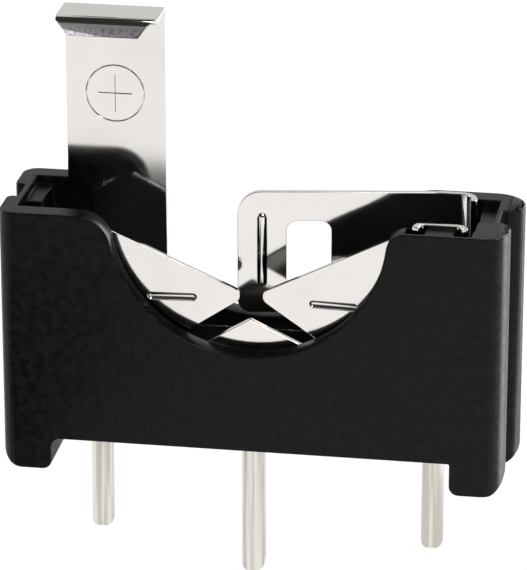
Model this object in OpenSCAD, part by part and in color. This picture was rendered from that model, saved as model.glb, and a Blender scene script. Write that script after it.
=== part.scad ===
// Upright through-hole holder for one coin cell standing on edge.
// Millimetres, +Z up. Origin on the board face, midway between the two rear
// solder pins and midway through the thickness. The cell goes in from above.

/* [Cell] */
// Diameter of the coin cell
cell_d = 20; // [18:0.1:22]
// Thickness of the coin cell
cell_t = 3.2; // [2.5:0.1:4]
// Room between the cell's rim and the guide at each end
end_clear = 0.15; // [0.1:0.05:0.4]
// Play between the cell and the two contact sheets together
slot_play = 0.4; // [0.2:0.05:0.8]

/* [Housing] */
// Height of the walls above the board
wall_top = 12.7; // [11.8:0.1:14]
// Thickness of the front and rear walls
wall_t = 1.05; // [0.9:0.05:1.4]
// Thickness of the floor under the cell
floor_t = 0.6; // [0.4:0.05:1]
// Height of the feet under the floor
foot_h = 1.55; // [1:0.05:2.5]
// Clear distance between the left and right feet
foot_gap = 18.7; // [17.8:0.1:19.5]
// End wall thickness on the hooked end
left_end = 0.75; // [0.6:0.05:1.2]
// End wall thickness on the other end
right_end = 1.2; // [0.9:0.05:1.6]
// Web left at the bottom of each end groove
groove_web = 0.25; // [0.2:0.05:0.4]
// Width of the groove down each end
groove_w = 1.6; // [1:0.1:2]
// Upright corner radius on the hooked end
left_round = 0.75; // [0.4:0.05:0.95]
// Upright corner radius on the other end
right_round = 1.5; // [0.8:0.05:1.55]
// Corner radius beside the grooves
groove_round = 0.3; // [0.15:0.05:0.35]
// Width of the guide at each end of the slot
guide_w = 0.8; // [0.5:0.05:1]
// Drop from the wall top to the guide top
guide_drop = 0.42; // [0.2:0.02:1]
// Reach of the left end guide past the middle of the slot
guide_reach = 0.3; // [0.1:0.05:0.5]
// Corner radius at the outer bottom of the feet
foot_round = 0.95; // [0.3:0.05:1.2]
// Corner radius at the inner bottom of the feet
foot_inner_round = 0.45; // [0.2:0.05:0.6]

/* [Finger cut-out] */
// Radius of the cut-out in both walls
finger_r = 6.45; // [5:0.05:7]
// Place of the cut-out along the holder
finger_x = -0.1; // [-0.5:0.05:0.5]
// Rounding where the cut-out meets the wall top
lip_round = 1.6; // [1:0.1:2]
// Rounding of the front lip beside the tab
tab_lip_round = 0.88; // [0.5:0.02:1]

/* [Contact sheet] */
// Thickness of the sprung sheet
sheet_t = 0.3; // [0.2:0.02:0.36]
// Inside radius of the small bends
bend_in = 0.15; // [0.1:0.01:0.2]
// Gap between a contact and the moulding beside it
fit_gap = 0.05; // [0.02:0.01:0.1]

/* [Solder pins] */
// Distance between the two rear pins
pin_pitch = 16; // [15:0.1:16.4]
// Width of a pin
pin_w = 1.15; // [0.9:0.05:1.4]
// Depth of the channel that a pin is folded into
pin_depth = 0.6; // [0.5:0.02:0.7]
// Reach of the pins below the board face
pin_reach = 5; // [3:0.1:6]
// Rounding of the pin tip
pin_round = 0.35; // [0.2:0.05:0.45]

/* [Latch arm] */
// Room between the latch arm and the left end guide
arm_gap = 0.77; // [0.5:0.01:1]
// Width of the arm
arm_w = 4.7; // [3.5:0.1:5]
// Height of the hook above the board
hook_top = 21.36; // [20.8:0.02:23]
// Reach of the hook in front of the arm's front face
hook_reach = 2.32; // [1.8:0.02:3]
// Height of the lip that hangs from the hook
lip_h = 0.87; // [0.7:0.01:1]
// Corner cut on the lip's outer side
lip_cut = 0.6; // [0.2:0.02:0.7]
// Corner cut on the lip's inner side, along the cell's rim
lip_cut_rim = 0.86; // [0.2:0.02:0.87]

/* [Spring finger] */
// Height of the spring's top edge
spring_top = 13.03; // [12.8:0.01:13.6]
// Round corner at the top left of the spring
spring_round = 1.1; // [0.8:0.05:1.3]
// Flat strip between the spring and the curl
spring_flat = 1.1; // [1:0.05:1.3]
// Angle by which the spring stands away from the back plate
spring_angle = 8.6; // [4:0.2:9]
// Left edge of the finger, before the spring is bent
finger_left = -1.2; // [-1.6:0.02:-0.8]
// Width of the finger that hangs from the spring
finger_w = 2.28; // [1.8:0.02:2.6]
// Round corners at the free end of the finger
finger_round = 0.65; // [0.4:0.05:0.9]
// Width of the window beside the finger
window_w = 2.07; // [1.5:0.01:2.5]
// Top of the window
window_top = 11.6; // [11:0.05:12]
// Round corners of the window
window_round = 0.5; // [0.3:0.05:0.7]
// Lower end of the finger
finger_end = 7.05; // [6.6:0.05:8]
// Lower edge of the spring's wide part
blade_low = 7.6; // [7:0.1:9]
// Inside radius of the curl at the plate's free edge
curl_in = 0.55; // [0.4:0.05:0.6]
// Room between the curl and the right end guide
curl_gap = 0.2; // [0.1:0.05:0.3]
// Straight length after the curl
curl_end = 0.25; // [0:0.05:0.5]
// Top edge of the band that joins arm and spring
band_top = 5.75; // [4.5:0.05:6]

/* [Front contact] */
// Gap between the tips of the two wings
wing_gap = 1.02; // [0.8:0.02:1.4]
// Height at which the wing edges would meet
wing_z = 8.77; // [8.4:0.01:9.2]
// Slope of the left wing's upper edge
wing_rise_left = 24.9; // [22:0.1:26]
// Slope of the right wing's upper edge
wing_rise_right = 27.4; // [24:0.1:28]
// Slope of the wings' lower edges
wing_fall = 33.4; // [31:0.1:35]
// Rounding of the wing tips
wing_round = 0.35; // [0.2:0.05:0.5]
// Flat strip between the right wing and the tab
tab_web = 0.9; // [0.85:0.01:1.1]
// Angle by which the wings lean in to the cell
wing_angle = 3.5; // [2:0.1:5]
// Height of the point between the wings
peak_z = 7.72; // [7.2:0.02:7.8]
// Slope of the point's left side
peak_left = 31; // [29:0.5:33]
// Slope of the point's right side
peak_right = 25; // [24:0.5:29]
// Flat strip between the left wing and the end of the plate
plate_side = 1.9; // [1.7:0.05:2]
// Level part of the shoulder beside the left wing
shoulder = 0.6; // [0.4:0.05:0.9]
// Drop of the shoulder at the end of the plate
shoulder_drop = 0.9; // [0.5:0.05:1.2]
// Height of the tab's top edge above the wall top
tab_rise = 0.17; // [0.1:0.01:0.3]
// Room between the tab and the right end guide
tab_gap = 0.75; // [0.7:0.01:0.85]
// Length of the tab's straight edge
tab_l = 1.5; // [1.2:0.05:1.6]
// Turn of the left ear out of the plate
ear_turn_left = 80; // [70:1:85]
// Turn of the right ear out of the plate
ear_turn_right = 60; // [50:1:75]
// Depth of the tab's ears below the wall top
ear_deep = 2.4; // [1.5:0.1:3]

/* [Ribs] */
// Width of the embossed ribs
rib_w = 0.46; // [0.4:0.02:0.5]
// Height of the embossed ribs
rib_h = 0.14; // [0.1:0.01:0.16]
// Length of the rib on the spring finger
finger_rib_l = 3.65; // [2:0.05:4]
// How far the rib of the finger reaches above the window
rib_above = 0.4; // [0:0.05:0.6]
// Length of the rib on each wing
wing_rib_l = 2.5; // [1.5:0.1:2.8]
// Distance of the wing ribs from the middle
wing_rib_x = 3.75; // [3.4:0.05:4]
// Drop of the wing ribs below the wing tips
wing_rib_drop = 0.2; // [0:0.05:0.4]

/* [Hidden] */
fine = 64;
eps = 0.01;
slot_w = cell_t + 2 * sheet_t + slot_play;
depth = slot_w + 2 * wall_t;
half_slot = cell_d / 2 + end_clear;
slot_end = half_slot + guide_w;
x_left = -slot_end - left_end;
x_right = slot_end + right_end;
floor_z = foot_h + floor_t;
inner_y = slot_w / 2;
outer_y = depth / 2;
guide_top = wall_top - guide_drop;
rear_face = inner_y - sheet_t;
arm_x = arm_gap - half_slot;
curl_x = half_slot - curl_gap - curl_in - sheet_t;
spring_root = curl_x - spring_flat;
tab_x = half_slot - tab_gap - tab_l;
wing_root = tab_x - tab_web;
band_z = floor_z + fit_gap;
pin_bend = sheet_t + 0.05;
ear_tip = 0.75;
tab_top = wall_top + tab_rise;
slit_w = sheet_t + 2 * bend_in + 0.2;
rib_r = rib_w / 2;
rib_back = 0.04;
slit_lap = 0.05;

// ---------- shared forms ----------

// Area between a square corner and the arc that rounds it
module corner_waste(r) {
    difference() {
        translate([-eps, -eps]) square(r + eps);
        translate([r, r]) circle(r, $fn = fine);
    }
}

// Rectangle whose corners have their own radii, anticlockwise from low left
module soft_rect(x0, y0, x1, y1, radii) {
    difference() {
        translate([x0, y0]) square([x1 - x0, y1 - y0]);
        translate([x0, y0]) corner_waste(radii[0]);
        translate([x1, y0]) rotate(90) corner_waste(radii[1]);
        translate([x1, y1]) rotate(180) corner_waste(radii[2]);
        translate([x0, y1]) rotate(270) corner_waste(radii[3]);
    }
}

// Flat shape drawn in X and Z, given a thickness from y0 towards +Y
module upright(y0, t) {
    translate([0, y0 + t, 0]) rotate([90, 0, 0]) linear_extrude(t) children();
}

// Quarter ring in plan: a sheet bent by the given angle about its inside radius
module bend(r_in, angle, z0, h) {
    translate([0, 0, z0]) rotate_extrude(angle = angle, $fn = fine)
        translate([r_in, 0]) square([sheet_t, h]);
}

// Bar with round ends along +X
module capsule(l, r) {
    for (e = [-1, 1]) translate([e * (l / 2 - r), 0, 0]) sphere(r, $fn = 32);
    translate([r - l / 2, 0, 0]) rotate([0, 90, 0]) cylinder(h = l - 2 * r, r = r, $fn = 32);
}

// Channel-shaped solder pin, its closed side facing -Y, and the flat strip that
// carries it up through the floor into the sheet
module solder_pin(x, y) {
    h = foot_h + pin_reach + floor_t / 2;
    translate([x, y, -pin_reach]) intersection() {
        linear_extrude(h) difference() {
            soft_rect(-pin_w / 2, 0, pin_w / 2, pin_depth, [pin_bend, pin_bend, eps, eps]);
            translate([-pin_w / 2 + sheet_t, sheet_t]) square([pin_w - 2 * sheet_t, pin_depth]);
        }
        upright(-1, pin_depth + 2)
            soft_rect(-pin_w / 2, 0, pin_w / 2, h, [pin_round, pin_round, eps, eps]);
    }
    translate([x - pin_w / 2 + pin_bend, y, foot_h]) cube([pin_w - 2 * pin_bend, sheet_t, band_z + eps - foot_h]);
}

// ---------- housing ----------

// Plan of the rear wall with its end lobes, the groove side towards the middle
module wall_plan() {
    g = groove_w / 2;
    soft_rect(x_left, g, x_right, outer_y, [groove_round, groove_round, right_round, left_round]);
}

// Plan of the whole moulding: two walls joined between the end grooves
module housing_plan() {
    web = slot_end + groove_web;
    wall_plan();
    mirror([0, 1]) wall_plan();
    translate([-web, -groove_w]) square([2 * web, 2 * groove_w]);
}

// Side outline: body with a foot at each end
module housing_side() {
    half = foot_gap / 2;
    difference() {
        soft_rect(x_left, 0, x_right, wall_top + eps, [foot_round, foot_round, eps, eps]);
        translate([-half, -1]) square([foot_gap, foot_h + 1]);
        translate([-half, 0]) rotate(90) corner_waste(foot_inner_round);
        translate([half, 0]) corner_waste(foot_inner_round);
    }
    translate([-half, foot_h]) mirror([0, 1]) corner_waste(foot_inner_round);
}

// Flare from the round cut-out up to the wall top, side = -1 left or 1 right
module lip_flare(side, r) {
    reach = sqrt(pow(finger_r + r, 2) - r * r);
    translate([finger_x, wall_top]) difference() {
        polygon([[0, 0], [side * reach, -r], [side * reach, 1], [0, 1]]);
        translate([side * reach, -r]) circle(r, $fn = fine);
    }
}

// Finger cut-out with both lips rounded
module finger_cut(r_left, r_right) {
    translate([finger_x, wall_top]) circle(finger_r, $fn = 2 * fine);
    lip_flare(-1, r_left);
    lip_flare(1, r_right);
}

// Hole in the floor for a channel pin whose front face is at y
module pin_hole(x, y) {
    translate([x - pin_w / 2 - fit_gap, y - fit_gap, foot_h - eps])
        cube([pin_w + 2 * fit_gap, pin_depth + 2 * fit_gap, floor_t + 2 * eps]);
}

// Slit in the front wall that takes one ear of the tab
module ear_slit(x) {
    translate([x, -inner_y - ear_tip - 0.05, wall_top - ear_deep - fit_gap])
        cube([slit_w, ear_tip + 0.1, ear_deep + 1]);
}

// Guide block at one end of the slot, from y0 to the rear wall
module end_guide(x, y0) {
    translate([x, y0, floor_z - eps]) cube([guide_w + eps, inner_y + eps - y0, guide_top - floor_z + eps]);
}

module housing() {
    block_w = slot_end - tab_x - tab_l - slit_w;
    color([0.12, 0.115, 0.12]) {
        difference() {
            intersection() {
                linear_extrude(wall_top) housing_plan();
                upright(-outer_y - 1, depth + 2) housing_side();
            }
            translate([-slot_end, -inner_y, floor_z]) cube([2 * slot_end, slot_w, wall_top]);
            upright(-outer_y - 1, outer_y + 1) finger_cut(lip_round, tab_lip_round);
            upright(0, outer_y + 1) finger_cut(lip_round, lip_round);
            for (s = [-1, 1]) pin_hole(s * pin_pitch / 2, rear_face);
            pin_hole(0, -inner_y);
            ear_slit(tab_x - slit_w + 2 * slit_lap);
            ear_slit(tab_x + tab_l - slit_lap);
        }
        end_guide(-slot_end - eps, -guide_reach);
        end_guide(slot_end - guide_w, -inner_y - eps);
        translate([slot_end + eps - block_w, -inner_y - eps, floor_z - eps])
            cube([block_w, inner_y - groove_w / 2 - fit_gap * 2, wall_top - floor_z + eps]);
    }
}

// ---------- positive contact ----------

// Hook at the arm's top, drawn from the side in Y and Z
module hook_section() {
    r = bend_in + sheet_t;
    y_lip = rear_face - hook_reach;
    difference() {
        soft_rect(y_lip, hook_top - lip_h, inner_y, hook_top, [eps, eps, r, r]);
        translate([y_lip + sheet_t, hook_top - lip_h - 1])
            soft_rect(0, 0, rear_face - y_lip - sheet_t, lip_h + 1 - sheet_t, [eps, eps, bend_in, bend_in]);
        translate([y_lip + sheet_t + bend_in, hook_top - lip_h - 1]) square([hook_reach - sheet_t - bend_in, 1.2]);
    }
}

// Hook with the lip's lower corners cut off
module hook() {
    z_lip = hook_top - lip_h;
    difference() {
        translate([arm_x, 0, 0]) rotate([90, 0, 90]) linear_extrude(arm_w) hook_section();
        upright(rear_face - hook_reach - 1, 1 + sheet_t + bend_in) {
            polygon([[arm_x - 1, z_lip + lip_cut + 1], [arm_x - 1, z_lip - 1], [arm_x + lip_cut + 1, z_lip - 1]]);
            polygon([[arm_x + arm_w + 1, z_lip + lip_cut_rim + 1],
                     [arm_x + arm_w + 1, z_lip - 1],
                     [arm_x + arm_w - lip_cut_rim - 1, z_lip - 1]]);
        }
    }
}

// Spring blade, flat, measured from its bend line: wide part, top arm and finger
module spring_blade() {
    x0 = finger_left - spring_root;
    x1 = x0 + finger_w;
    x2 = x1 + window_w;
    difference() {
        soft_rect(x0, finger_end, 0, spring_top, [finger_round, eps, eps, spring_round]);
        soft_rect(x1, finger_end - 1, x2, window_top, [eps, eps, window_round, window_round]);
        translate([x2 - eps, finger_end - 1]) square([-x2 + 1, blade_low - finger_end + 1]);
    }
}

// The whole sprung part: blade turned about its bend line, with its contact rib
module spring() {
    rib_x = finger_left + finger_w / 2 - spring_root;
    rib_z = window_top + rib_above - finger_rib_l / 2;
    translate([spring_root, rear_face, 0]) rotate(spring_angle) difference() {
        union() {
            upright(0, sheet_t) spring_blade();
            translate([rib_x, rib_r - rib_h, rib_z]) rotate([0, 90, 0]) capsule(finger_rib_l, rib_r);
        }
        translate([rib_x, sheet_t + rib_back, rib_z]) rotate([0, 90, 0])
            capsule(finger_rib_l - rib_r, rib_back + rib_h);
    }
}

module positive_contact() {
    color([0.80, 0.78, 0.75]) {
        upright(rear_face, sheet_t) {
            translate([arm_x, band_z]) square([arm_w, hook_top - sheet_t - bend_in - band_z]);
            translate([arm_x, band_z]) square([curl_x - arm_x, band_top - band_z]);
            translate([spring_root - eps, band_z]) square([curl_x - spring_root + eps, spring_top - band_z]);
        }
        hook();
        spring();
        translate([curl_x, rear_face - curl_in, 0]) bend(curl_in, 90, blade_low, spring_top - blade_low);
        translate([curl_x + curl_in, rear_face - curl_in - curl_end, blade_low])
            cube([sheet_t, curl_end + eps, spring_top - blade_low]);
        for (s = [-1, 1]) solder_pin(s * pin_pitch / 2, rear_face);
    }
}

// ---------- negative contact ----------

// Wing outline from its bend line to its tip, side = -1 left or 1 right
module wing_outline(side, rise) {
    half = (rise + wing_fall) / 2;
    lean = (rise - wing_fall) / 2;
    reach = wing_round / sin(half);
    vertex = side * (wing_gap / 2 - reach + wing_round) + finger_x;
    root = side * wing_root;
    run = abs(root - vertex);
    flat = wing_round / tan(half);
    polygon([[vertex + side * flat * cos(rise), wing_z + flat * sin(rise)],
             [root, wing_z + run * tan(rise)],
             [root, wing_z - run * tan(wing_fall)],
             [vertex + side * flat * cos(wing_fall), wing_z - flat * sin(wing_fall)]]);
    translate([vertex + side * reach * cos(lean), wing_z + reach * sin(lean)])
        circle(wing_round, $fn = fine);
}

// Wing leaning in to the cell about its bend line, with its contact rib
module wing(side, rise) {
    root = side * wing_root;
    rib_x = side * wing_rib_x;
    rib_z = wing_z - wing_rib_drop;
    translate([root, -inner_y, 0]) rotate(side * -wing_angle) translate([-root, 0, 0]) difference() {
        union() {
            upright(0, sheet_t) wing_outline(side, rise);
            translate([rib_x, sheet_t + rib_h - rib_r, rib_z]) capsule(wing_rib_l, rib_r);
        }
        translate([rib_x, -rib_back, rib_z]) capsule(wing_rib_l - rib_r, rib_back + rib_h);
    }
}

// Flat plate behind the front wall, with a point between the wings
module front_plate() {
    peak = finger_x;
    left_top = wing_z + (wing_root - wing_gap / 2) * tan(wing_rise_left);
    right_top = wing_z + (wing_root - wing_gap / 2) * tan(wing_rise_right);
    polygon([[peak, peak_z], [-wing_root, peak_z - (wing_root + peak) * tan(peak_left)],
             [-wing_root, left_top], [-wing_root - shoulder, left_top],
             [-wing_root - plate_side, left_top - shoulder_drop],
             [-wing_root - plate_side, band_z], [tab_x + tab_l, band_z], [tab_x + tab_l, tab_top],
             [tab_x, tab_top], [tab_x, right_top + 0.3], [wing_root, right_top],
             [wing_root, peak_z - (wing_root - peak) * tan(peak_right)]]);
}

// Ear bent forward from one end of the tab, drawn in plan
module tab_ear(side, turn) {
    far = 2 * ear_tip;
    translate([0, 0, wall_top - ear_deep]) linear_extrude(ear_deep + tab_rise) mirror([side < 0 ? 1 : 0, 0]) {
        translate([-tab_l / 4, 0]) square([tab_l / 4, sheet_t]);
        translate([0, -bend_in]) {
            intersection() {
                difference() {
                    circle(bend_in + sheet_t, $fn = fine);
                    circle(bend_in, $fn = fine);
                }
                polygon([[0, 0], [0, far], [far, far], [far * sin(turn), far * cos(turn)]]);
            }
            rotate(-turn) translate([0, bend_in]) square([ear_tip - sheet_t - bend_in, sheet_t]);
        }
    }
}

module negative_contact() {
    color([0.80, 0.78, 0.75]) {
        upright(-inner_y, sheet_t) front_plate();
        wing(-1, wing_rise_left);
        wing(1, wing_rise_right);
        translate([tab_x, -inner_y, 0]) tab_ear(-1, ear_turn_left);
        translate([tab_x + tab_l, -inner_y, 0]) tab_ear(1, ear_turn_right);
        solder_pin(0, -inner_y);
    }
}

housing();
positive_contact();
negative_contact();
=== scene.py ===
import math

import bmesh
import bpy
import numpy as np
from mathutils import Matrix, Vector


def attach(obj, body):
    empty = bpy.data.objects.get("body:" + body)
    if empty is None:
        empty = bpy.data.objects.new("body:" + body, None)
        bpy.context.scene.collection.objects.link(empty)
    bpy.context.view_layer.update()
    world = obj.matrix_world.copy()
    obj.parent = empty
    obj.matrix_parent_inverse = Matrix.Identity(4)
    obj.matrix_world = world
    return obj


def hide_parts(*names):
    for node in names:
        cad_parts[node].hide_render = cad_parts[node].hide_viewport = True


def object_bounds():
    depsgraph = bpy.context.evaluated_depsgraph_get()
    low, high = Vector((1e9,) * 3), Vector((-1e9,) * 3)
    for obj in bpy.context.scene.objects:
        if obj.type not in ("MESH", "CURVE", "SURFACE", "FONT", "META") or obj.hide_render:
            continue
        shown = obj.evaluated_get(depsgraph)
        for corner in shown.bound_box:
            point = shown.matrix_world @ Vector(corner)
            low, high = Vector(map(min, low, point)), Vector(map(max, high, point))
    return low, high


mm = 0.001

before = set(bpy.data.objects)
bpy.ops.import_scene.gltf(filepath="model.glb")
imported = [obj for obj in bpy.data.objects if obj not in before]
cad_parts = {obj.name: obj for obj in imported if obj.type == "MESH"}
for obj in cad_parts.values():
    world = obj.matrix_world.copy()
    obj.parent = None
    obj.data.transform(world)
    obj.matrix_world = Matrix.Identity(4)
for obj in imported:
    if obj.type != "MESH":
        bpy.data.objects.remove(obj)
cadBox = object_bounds()
print("frame loaded:", sorted(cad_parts))


class Wire:
    # one output socket; arithmetic on it adds Math nodes
    def __init__(self, finish, socket):
        self.finish = finish
        self.socket = socket

    def __add__(self, other):
        return self.finish.math("ADD", self, other)

    def __radd__(self, other):
        return self.finish.math("ADD", other, self)

    def __sub__(self, other):
        return self.finish.math("SUBTRACT", self, other)

    def __rsub__(self, other):
        return self.finish.math("SUBTRACT", other, self)

    def __mul__(self, other):
        return self.finish.math("MULTIPLY", self, other)

    def __rmul__(self, other):
        return self.finish.math("MULTIPLY", other, self)

    def step(self, low, high):
        # 0 below low, 1 above high, a smooth rise between; low above high turns it round
        return self.finish.node("MapRange", {"interpolation_type": "SMOOTHSTEP"},
                                {"Value": self, "From Min": low, "From Max": high})


class Finish:
    # a material with one Principled shader; node() makes every other node
    def __init__(self, name):
        self.material = bpy.data.materials.new(name)
        self.material.use_nodes = True
        self.tree = self.material.node_tree
        self.tree.nodes.clear()
        self.output = self.tree.nodes.new("ShaderNodeOutputMaterial")
        self.shader = self.tree.nodes.new("ShaderNodeBsdfPrincipled")
        self.tree.links.new(self.shader.outputs[0], self.output.inputs["Surface"])

    def node(self, kind, settings=None, sockets=None, out=0):
        made = self.tree.nodes.new("ShaderNode" + kind)
        for name, value in (settings or {}).items():
            setattr(made, name, value)
        for key, value in (sockets or {}).items():
            self.plug(made.inputs[key], value)
        return Wire(self, made.outputs[out])

    def plug(self, socket, value):
        if isinstance(value, Wire):
            self.tree.links.new(value.socket, socket)
        else:
            socket.default_value = value

    def set(self, **sockets):
        # socket names with spaces are written with underscores
        for name, value in sockets.items():
            self.plug(self.shader.inputs[name.replace("_", " ")], value)

    def math(self, operation, *values):
        return self.node("Math", {"operation": operation}, dict(enumerate(values)))

    def ray(self, question):
        return self.node("LightPath", out=question)

    def place(self):
        # object position in millimetres
        return self.node("VectorMath", {"operation": "SCALE"},
                         {"Vector": self.node("TexCoord", out="Object"), "Scale": 1 / mm})

    def split(self, vector):
        return [self.node("SeparateXYZ", None, {"Vector": vector}, out=axis) for axis in "XYZ"]

    def noise(self, vector, scale, detail=2.0, stretch=(1, 1, 1)):
        moved = self.node("Mapping", None, {"Vector": vector, "Scale": stretch})
        return self.node("TexNoise", None, {"Vector": moved, "Scale": scale, "Detail": detail}, out="Fac")

    def blend(self, share, first, second):
        # colours are red, green and blue, or another blend
        first, second = [c if isinstance(c, Wire) else (*c, 1.0) for c in (first, second)]
        return self.node("Mix", {"data_type": "RGBA"}, {0: share, 6: first, 7: second}, out=2)

    def bump(self, height, depth, under=None):
        # height from 0 to 1 stands depth millimetres proud, over the bump under it
        sockets = {"Height": height, "Distance": depth * mm, "Strength": 1.0}
        if under:
            sockets["Normal"] = under
        return self.node("Bump", None, sockets)


plastic = {
    "dark": (0.0022, 0.0019, 0.0021),
    "light": (0.0068, 0.0060, 0.0070),
    "mottle": 2.6,            # spots per mm
    "grain": 14.0,            # texture per mm
    "grainDepth": 0.0022,     # mm
    "grainShare": 0.3,        # how much the grain adds to the spots
    "spotted": (0.38, 0.64),  # where a spot begins and where it is full
    "roughness": (0.27, 0.37),
    "gloss": 0.15,
}


def makePlastic():
    # slow mottling and fine grain together lighten the colour and roughen it
    finish = Finish("blackMoulding")
    place = finish.place()
    mottle = finish.noise(place, plastic["mottle"], 3.0)
    grain = finish.noise(place, plastic["grain"])
    spots = mottle * (1 - plastic["grainShare"]) + grain * plastic["grainShare"]
    share = spots.step(*plastic["spotted"])
    low, high = plastic["roughness"]
    finish.set(Base_Color=finish.blend(share, plastic["dark"], plastic["light"]),
               Roughness=low + (high - low) * share,
               Normal=finish.bump(grain, plastic["grainDepth"]),
               Specular_IOR_Level=plastic["gloss"])
    return finish.material


nickel = {
    "colour": (0.80, 0.775, 0.745),
    "stain": (0.73, 0.695, 0.65),
    "patches": 0.35,              # of stain, per mm
    "stained": (0.5, 0.8),        # where a patch begins and where it is full
    "stainShare": 0.5,
    "roughness": (0.06, 0.12),
    "wave": 0.009,                # mm, slow unevenness of the sheet
    "rolled": (9.0, 9.0, 0.5),    # lines from rolling per mm, drawn out upwards
    "rollDepth": 0.0005,          # mm
    "pinColour": (0.80, 0.765, 0.70),
    # darker stripes down the pins: partly plating streaks, partly painted shade and reflection in place of the
    # stripes that curled pin edges show
    "pinStreakShade": (0.50, 0.475, 0.42),
    "streakShadeLines": (4.5, 4.5, 0.10),  # per mm
    "streakShadeSpread": (0.42, 0.60),
    "streakShadeShare": 0.75,
    "pinRoughness": (0.26, 0.36),
    "pinTop": (2.2, 1.8),         # mm, the satin plating of the pins fades in between these
    # painted glints: violet specks painted into the colour of the hook's lip in place of reflected glints
    "lipGlintPaint": (0.42, 0.38, 0.60),
    "glintSpecks": 5.0,                # of tint, per mm
    "glintSpecked": (0.48, 0.62),
    "glintShare": 0.8,
    "lipBottom": (20.2, 20.4),    # mm, the tint fades in over this height
    "lipTop": (21.0, 20.85),      # mm, and in from the top over this one
    "lipFront": (0.0, -0.3),      # mm, and from the arm to the front
}


def makeNickel():
    # bright sheet with faint stains, satin pins whose darker streaks are partly painted shade, and painted violet
    # glints in specks on the hook's lip
    finish = Finish("nickelPlate")
    place = finish.place()
    x, y, z = finish.split(place)
    cloud = finish.noise(place, nickel["patches"], 1.0)
    rolled = finish.noise(place, 1.0, stretch=nickel["rolled"])
    streakShade = finish.noise(place, 1.0, stretch=nickel["streakShadeLines"]).step(*nickel["streakShadeSpread"])
    glint = finish.noise(place, nickel["glintSpecks"], 3.0).step(*nickel["glintSpecked"])
    pin = z.step(*nickel["pinTop"])
    lip = z.step(*nickel["lipBottom"]) * z.step(*nickel["lipTop"]) * y.step(*nickel["lipFront"])
    low, high = nickel["roughness"]
    satin, coarse = nickel["pinRoughness"]
    stained = cloud.step(*nickel["stained"]) * nickel["stainShare"]
    sheet = finish.blend(stained, nickel["colour"], nickel["stain"])
    # painted violet glints in specks on the lip
    sheet = finish.blend(lip * glint * nickel["glintShare"], sheet, nickel["lipGlintPaint"])
    # pin colour with darker stripes, partly plating streaks and partly painted shade
    wire = finish.blend(streakShade * nickel["streakShadeShare"], nickel["pinColour"], nickel["pinStreakShade"])
    uneven = finish.bump(cloud, nickel["wave"])
    finish.set(Metallic=1.0,
               Base_Color=finish.blend(pin, sheet, wire),
               Roughness=(low + (high - low) * cloud) * (1 - pin) + (satin + (coarse - satin) * rolled) * pin,
               Normal=finish.bump(rolled, nickel["rollDepth"], uneven))
    return finish.material


blackMoulding = makePlastic()
nickelPlate = makeNickel()
print("finishes made")


skins = {
    "join": 0.014,    # mm, points nearer than this become one
    "sliver": 0.002,  # mm, edges shorter than this go
    "flat": 0.6,      # degrees, faces closer than this become one
    "rejoin": 0.004,  # mm, as join, after a reshape
    "reflat": 0.3,    # degrees, as flat, after an engraving
    "sharp": 35.0,    # degrees, edges sharper than this are softened
    "steps": 2,       # faces across a softened edge
    "evenness": 80,   # how much large faces lead the shading
}


def worked(mesh, work):
    # runs work on the mesh in its editable form
    skin = bmesh.new()
    skin.from_mesh(mesh)
    work(skin)
    skin.to_mesh(mesh)
    skin.free()


def flatten(skin, degrees):
    bmesh.ops.dissolve_limit(skin, angle_limit=math.radians(degrees), verts=skin.verts, edges=skin.edges)


def movePoints(mesh, change):
    # change takes all points as one array in millimetres and gives it back moved
    points = np.empty(len(mesh.vertices) * 3)
    mesh.vertices.foreach_get("co", points)
    mesh.vertices.foreach_set("co", change(points.reshape(-1, 3) / mm).ravel() * mm)
    mesh.update()


def joinSkin(skin, axis, loops):
    # the node's triangles become whole flats, then edge loops run across the axis at these places
    bmesh.ops.remove_doubles(skin, verts=skin.verts, dist=skins["join"] * mm)
    bmesh.ops.dissolve_degenerate(skin, edges=skin.edges, dist=skins["sliver"] * mm)
    flatten(skin, skins["flat"])
    normal = np.eye(3)[axis]
    for at in loops:
        bmesh.ops.bisect_plane(skin, geom=skin.verts[:] + skin.edges[:] + skin.faces[:],
                               dist=skins["sliver"] * mm, plane_co=(at * mm * normal).tolist(),
                               plane_no=normal.tolist())


def dress(node, name, material, edge, axis, loops, reshape, cutter=None):
    # the node's own solid as one joined skin, reshaped, with edges softened by edge millimetres, then engraved
    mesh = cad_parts[node].data.copy()
    worked(mesh, lambda skin: joinSkin(skin, axis, loops))
    movePoints(mesh, reshape)
    worked(mesh, lambda skin: bmesh.ops.remove_doubles(skin, verts=skin.verts, dist=skins["rejoin"] * mm))
    piece = bpy.data.objects.new(name, mesh)
    bpy.context.scene.collection.objects.link(piece)
    mesh.materials.clear()
    mesh.materials.append(material)
    bevel = piece.modifiers.new("softEdges", "BEVEL")
    bevel.width = edge * mm
    bevel.segments = skins["steps"]
    bevel.limit_method = "ANGLE"
    bevel.angle_limit = math.radians(skins["sharp"])
    bevel.use_clamp_overlap = False
    if cutter:
        flat = piece.modifiers.new("flatTriangles", "TRIANGULATE")
        flat.min_vertices = 5              # faces with four corners stay whole
        cut = piece.modifiers.new("engraving", "BOOLEAN")
        cut.operation = "DIFFERENCE"
        cut.solver = "EXACT"
        cut.object = cutter
    bpy.context.view_layer.update()
    carved = bpy.data.meshes.new_from_object(piece.evaluated_get(bpy.context.evaluated_depsgraph_get()))
    piece.modifiers.clear()
    piece.data = carved
    carved.name = name
    # nothing stands outside the frame's box
    low, high = [np.array(corner) / mm for corner in cadBox]
    movePoints(carved, lambda points: np.clip(points, low, high))
    if cutter:
        bpy.data.objects.remove(cutter)
        worked(carved, lambda skin: flatten(skin, skins["reflat"]))
    carved.shade_smooth()
    even = piece.modifiers.new("evenNormals", "WEIGHTED_NORMAL")
    even.weight = skins["evenness"]
    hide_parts(node)
    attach(piece, "root")


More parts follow.
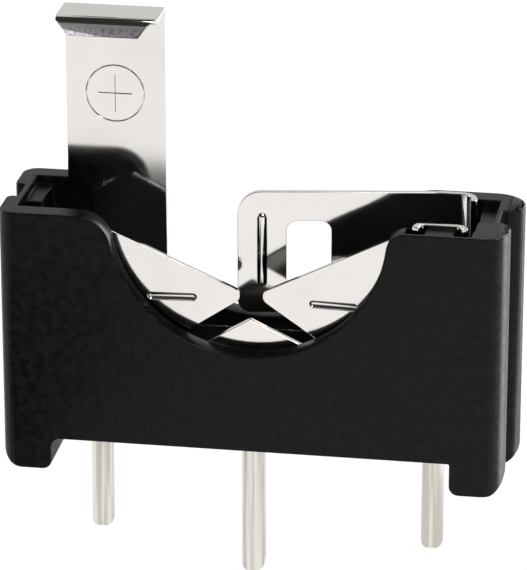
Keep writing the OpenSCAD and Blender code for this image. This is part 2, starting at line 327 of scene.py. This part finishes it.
housing = {
    "edge": 0.07,        # mm, softening
    "lobeStart": 11.0,   # mm, where the front right lobe begins to differ from the rear one
    "lobeEnd": 12.15,
    "lobePull": 0.34,    # mm, how much shorter it is
    "lobeSide": 1.65,    # mm from the middle, where the end's flat meets the round towards the groove
    "groove": 0.80,      # mm from the middle, the groove's side
    "middle": 0.5,       # mm, nothing nearer the middle moves
    "loops": (11.33, 11.45, 11.58, 11.70, 11.81, 11.91, 12.00, 12.07),
}


def roundLobes(points):
    # at the right end both corners towards the groove follow a quarter circle, and the front lobe is drawn in
    x, y = points[:, 0], points[:, 1]
    radius = housing["lobeSide"] - housing["groove"]
    roundStart = housing["lobeEnd"] - radius
    inward = np.clip(x - roundStart, 0, radius)
    limit = housing["lobeSide"] - np.sqrt(radius ** 2 - inward ** 2)  # least distance from the middle at this x
    corner = (x > roundStart) & (np.abs(y) > housing["middle"])
    front = (x > housing["lobeStart"]) & (y < -housing["middle"])
    length = housing["lobeEnd"] - housing["lobeStart"]
    moved = points.copy()
    moved[corner, 1] = np.sign(y[corner]) * np.maximum(np.abs(y[corner]), limit[corner])
    moved[front, 0] = housing["lobeStart"] + (x[front] - housing["lobeStart"]) * (1 - housing["lobePull"] / length)
    return moved


dress("housing", "housingMoulding", blackMoulding, housing["edge"],
      0, housing["loops"], roundLobes)


pins = {   # of both contacts
    "centres": (-8.0, 0.0, 8.0),   # mm
    "reach": 0.75,                 # mm from a centre
    "loop": 1.0,                   # mm, height of an edge loop round each
    "below": 1.2,                  # mm, under this height they are drawn in
    "slim": 0.92,                  # times as wide
}


def slimPins(points):
    # each pin narrows about its own middle
    moved = points.copy()
    for centre in pins["centres"]:
        across = points[:, 0] - centre
        near = (np.abs(across) < pins["reach"]) & (points[:, 2] < pins["below"])
        moved[near, 0] = centre + across[near] * pins["slim"]
    return moved


rearContact = {
    "edge": 0.03,                     # mm, softening
    "loops": (15.2, 18.9),            # mm, edge loops across the arm
    "bendY": -0.07, "bendZ": 20.91,   # mm, the axis of the lip's bend
    "open": 17.0,                     # degrees that the lip stands off square
    "length": 1.28,                   # of the lip below the bend, times as long
    "hookLeft": -10.0, "hookRight": -4.0, "hookBottom": 20.0, "hookBack": 0.0001,   # mm, only this room moves
}


def openHook(points):
    # round the bend's axis each point turns by a share of the angle that grows from the top to the lip,
    # and below the axis the lip is drawn out along itself
    y, z = points[:, 1] - rearContact["bendY"], points[:, 2] - rearContact["bendZ"]
    inHook = ((points[:, 0] > rearContact["hookLeft"]) & (points[:, 0] < rearContact["hookRight"])
              & (points[:, 2] > rearContact["hookBottom"]) & (y <= rearContact["hookBack"]))
    around = np.degrees(np.arctan2(-y, z))                       # 0 at the top, 90 at the front
    turn = np.radians(rearContact["open"]) * np.clip(around / 90, 0, 1)
    z = np.where(z < 0, z * rearContact["length"], z)
    newY = y * np.cos(turn) + z * np.sin(turn)
    newZ = z * np.cos(turn) - y * np.sin(turn)
    moved = points.copy()
    moved[inHook, 1] = rearContact["bendY"] + newY[inHook]
    moved[inHook, 2] = rearContact["bendZ"] + newZ[inHook]
    return moved


mark = {
    "centre": (-7.07, 17.05),   # mm on the latch arm
    "face": 1.8,                # mm, the arm's front face
    "proud": 0.1,               # mm, how far the cutter stands out of it
    "depth": 0.014,             # mm, of the engraving
    "radius": 1.36,
    "line": 0.07,               # width of the ring
    "bar": 0.056,               # width of the plus's bar
    "post": 0.03,               # width of the plus's upright
    "across": 0.80,             # half the bar's length
    "tall": 0.92,               # half the upright's length
    "corners": 96,              # of the ring
}


def prisms(outlines, front, back):
    # the sides of each outline in x and z, carried from front to back
    verts, faces, start = [], [], 0
    for outline in outlines:
        n = len(outline)
        for depth in (front, back):
            verts.append(np.column_stack([outline[:, 0], np.full(n, depth), outline[:, 1]]))
        i = np.arange(n)
        j = (i + 1) % n
        faces.append(np.column_stack([start + i, start + j, start + n + j, start + n + i]))
        start += 2 * n
    return np.vstack(verts), np.vstack(faces).tolist()


def makeMark():
    # the ring is the band between two circles, the plus is a twelve-sided outline
    count = mark["corners"]
    angle = np.linspace(0, 2 * math.pi, count, endpoint=False)
    circle = np.column_stack([np.cos(angle), np.sin(angle)])
    half, bar, post = mark["line"] / 2, mark["bar"] / 2, mark["post"] / 2
    across, tall = mark["across"], mark["tall"]
    plus = np.array([(post, bar), (post, tall), (-post, tall), (-post, bar), (-across, bar), (-across, -bar),
                     (-post, -bar), (-post, -tall), (post, -tall), (post, -bar), (across, -bar), (across, bar)])
    outer, inner = circle * (mark["radius"] + half), circle * (mark["radius"] - half)
    verts, faces = prisms([outer, inner, plus], mark["face"] - mark["proud"], mark["face"] + mark["depth"])
    i = np.arange(count)
    j = (i + 1) % count
    ends = np.column_stack([i, j, 2 * count + j, 2 * count + i])
    faces += ends.tolist() + (ends + count).tolist()              # the ring's ends, front then back
    first, last = 4 * count, 4 * count + len(plus)
    faces += [list(range(first, last)), list(range(last, last + len(plus)))]
    verts = (verts + np.array([mark["centre"][0], 0, mark["centre"][1]])) * mm
    mesh = bpy.data.meshes.new("polarityMark")
    mesh.from_pydata(verts.tolist(), [], faces)
    worked(mesh, lambda skin: bmesh.ops.recalc_face_normals(skin, faces=skin.faces))
    cutter = bpy.data.objects.new("polarityMark", mesh)
    bpy.context.scene.collection.objects.link(cutter)
    return cutter


dress("positive_contact", "rearContact", nickelPlate, rearContact["edge"],
      2, (pins["loop"], *rearContact["loops"]), lambda points: openHook(slimPins(points)), makeMark())


frontContact = {
    "edge": 0.03,   # mm, softening
}

dress("negative_contact", "frontContact", nickelPlate, frontContact["edge"],
      2, (pins["loop"],), slimPins)
print("pieces dressed")


studio = {
    "floorZ": -5.0,         # mm, the pin tips
    "floorSize": 4000.0,    # mm
    "paper": 0.82,          # its grey, where 1 is white
    "paperRoughness": 0.9,
    "glow": 1.06,           # of the floor, where the camera or the metal sees it
    "glowShare": 0.9,       # the rest is the paper itself, which keeps the shadow
    "fill": 0.55,           # world light on the object
    "sky": 0.70,            # the sky that the metal shows, behind and above
    "front": (0.30, 0.03),  # the dark room that it shows in front: near the floor, and higher up
    "frontSide": (0.45, 0.10),   # where the room begins and is full, as a share of straight back
    "frontRise": (0.24, 0.38),   # where it darkens, as a share of straight up
    "inner": 0.06,          # what is left after a second reflection
}

card = {   # a dark card on the floor in front, which the lower part of the arm shows
    "left": -34.0, "right": -12.0, "far": -49.9, "near": -9.0,   # mm, its sides on the floor
    "leftFade": 1.5, "nearFade": 2.0, "edge": 0.3,               # mm, softness of its sides
    "dark": 0.985,
}

shine = {   # a bright wedge of floor behind on the right, which the rounded lobes show
    "level": 6.0,
    "tip": (12.0, -2.0),     # mm
    "turn": 131.0,           # degrees from straight ahead
    "begin": (6.0, 12.0),    # mm from the tip
    "end": (90.0, 60.0),
    "spread": 0.17,          # half its width for each mm from the tip
    "soft": 1.2,
}


def laterBounce(finish):
    # 1 from the second reflection on
    return finish.math("GREATER_THAN", finish.ray("Glossy Depth"), 1.5)


def makeFloor():
    # white paper; only the metal sees the dark card and the bright wedge on it
    half = studio["floorSize"] / 2 * mm
    corners = np.array([(-1, -1), (1, -1), (1, 1), (-1, 1)]) * half
    verts = np.column_stack([corners, np.full(4, studio["floorZ"] * mm)])
    mesh = bpy.data.meshes.new("studioFloor")
    mesh.from_pydata(verts.tolist(), [], [(0, 1, 2, 3)])
    floor = bpy.data.objects.new("studioFloor", mesh)
    bpy.context.scene.collection.objects.link(floor)
    paper = Finish("whitePaper")
    x, y, z = paper.split(paper.place())
    left, right, far, near, edge = card["left"], card["right"], card["far"], card["near"], card["edge"]
    onCard = (x.step(left, left + card["leftFade"]) * x.step(right + edge, right - edge)
              * y.step(far - edge, far + edge) * y.step(near, near - card["nearFade"]))
    east, north = x - shine["tip"][0], y - shine["tip"][1]
    turn = math.radians(shine["turn"])
    sine, cosine = math.sin(turn), -math.cos(turn)
    along = east * sine + north * cosine
    across = paper.math("ABSOLUTE", north * sine - east * cosine)
    wedge = (along.step(*shine["begin"]) * (across - along * shine["spread"]).step(shine["soft"], -shine["soft"])
             * along.step(*shine["end"]))
    glossy = paper.ray("Is Glossy Ray")
    deeper = laterBounce(paper)
    seen = paper.math("MAXIMUM", paper.ray("Is Camera Ray"), glossy)
    dimmed = glossy * (1 - (1 - onCard * card["dark"]) * (1 - deeper * (1 - studio["inner"])))
    strength = (1 - dimmed) * studio["glow"] + glossy * (1 - deeper) * wedge * shine["level"]
    paper.set(Base_Color=(*[studio["paper"]] * 3, 1.0), Roughness=studio["paperRoughness"],
              Specular_IOR_Level=0.0)
    glow = paper.node("Emission", None, {"Color": (1.0, 1.0, 1.0, 1.0), "Strength": strength})
    mixed = paper.node("MixShader", None,
                       {0: seen * studio["glowShare"], 1: Wire(paper, paper.shader.outputs[0]), 2: glow})
    paper.tree.links.new(mixed.socket, paper.output.inputs["Surface"])
    mesh.materials.append(paper.material)


class Sky(Finish):
    # the same node helper on the world's tree
    def __init__(self, name):
        world = bpy.data.worlds.new(name)
        bpy.context.scene.world = world
        world.use_nodes = True
        self.tree = world.node_tree
        self.tree.nodes.clear()
        self.output = self.tree.nodes.new("ShaderNodeOutputWorld")


def makeWorld():
    # white to the camera, an even fill on the object, and for the metal a grey sky with a dark front
    sky = Sky("studioSky")
    x, y, z = sky.split(sky.node("TexCoord", out="Generated"))
    glossy, camera = sky.ray("Is Glossy Ray"), sky.ray("Is Camera Ray")
    ahead = y.step(*studio["frontSide"])
    low, high = studio["front"]
    front = low + (high - low) * z.step(*studio["frontRise"])
    metal = (studio["sky"] + (front - studio["sky"]) * ahead) * (1 - laterBounce(sky) * (1 - studio["inner"]))
    level = camera + (1 - camera) * (glossy * metal + (1 - glossy) * studio["fill"])
    light = sky.node("Background", None, {"Color": (1.0, 1.0, 1.0, 1.0), "Strength": level})
    sky.tree.links.new(light.socket, sky.output.inputs["Surface"])


lamps = {   # places and sizes in mm; level is the brightness of the lamp's face, where 1 is white
    "topBox": {"place": (45, -45, 145), "target": (0, 0, 8), "size": (70, 60), "level": 8.0,
               "colour": (1.0, 1.0, 1.0)},
    "rightStrip": {"place": (95, 75, 35), "target": (10, 0, 6), "size": (90, 150), "level": 8.0,
                   "colour": (1.0, 0.98, 1.0)},
    "leftStrip": {"place": (-110, 30, 30), "target": (-10, 0, 6), "size": (30, 150), "level": 4.0,
                  "colour": (0.90, 0.94, 1.0)},
}


def makeLamp(name, place, target, size, level, colour):
    light = bpy.data.lights.new(name, "AREA")
    light.shape = "RECTANGLE"
    light.size, light.size_y = size[0] * mm, size[1] * mm
    light.energy = level * math.pi * light.size * light.size_y
    light.color = colour
    lamp = bpy.data.objects.new(name, light)
    lamp.location = Vector(place) * mm
    lamp.rotation_euler = (Vector(target) - Vector(place)).to_track_quat("-Z", "Y").to_euler()
    lamp.visible_camera = False
    bpy.context.scene.collection.objects.link(lamp)


view = {
    "aim": (0.2385, 0.0, 8.296),   # mm
    "distance": 186.52,            # mm
    "azimuth": 9.348,              # degrees to the right of the front
    "elevation": 21.232,           # degrees
    "lens": 253.6,                 # mm
    "sensor": 36.0,                # mm
    "clip": (0.005, 20.0),         # m
    "shift": (-0.0016, 0.0128),
}


def makeCamera():
    azimuth, elevation = math.radians(view["azimuth"]), math.radians(view["elevation"])
    back = np.array([math.sin(azimuth) * math.cos(elevation), -math.cos(azimuth) * math.cos(elevation),
                     math.sin(elevation)])
    data = bpy.data.cameras.new("viewCamera")
    data.lens = view["lens"]
    data.sensor_width = view["sensor"]
    data.shift_x, data.shift_y = view["shift"]
    data.clip_start, data.clip_end = view["clip"]
    camera = bpy.data.objects.new("viewCamera", data)
    camera.location = ((np.array(view["aim"]) + view["distance"] * back) * mm).tolist()
    camera.rotation_euler = (math.radians(90) - elevation, 0.0, azimuth)
    bpy.context.scene.collection.objects.link(camera)
    bpy.context.scene.camera = camera


makeFloor()
makeWorld()
makeCamera()
for name, lamp in lamps.items():
    makeLamp(name, **lamp)
bpy.context.scene.view_settings.view_transform = "Standard"
print("studio set")
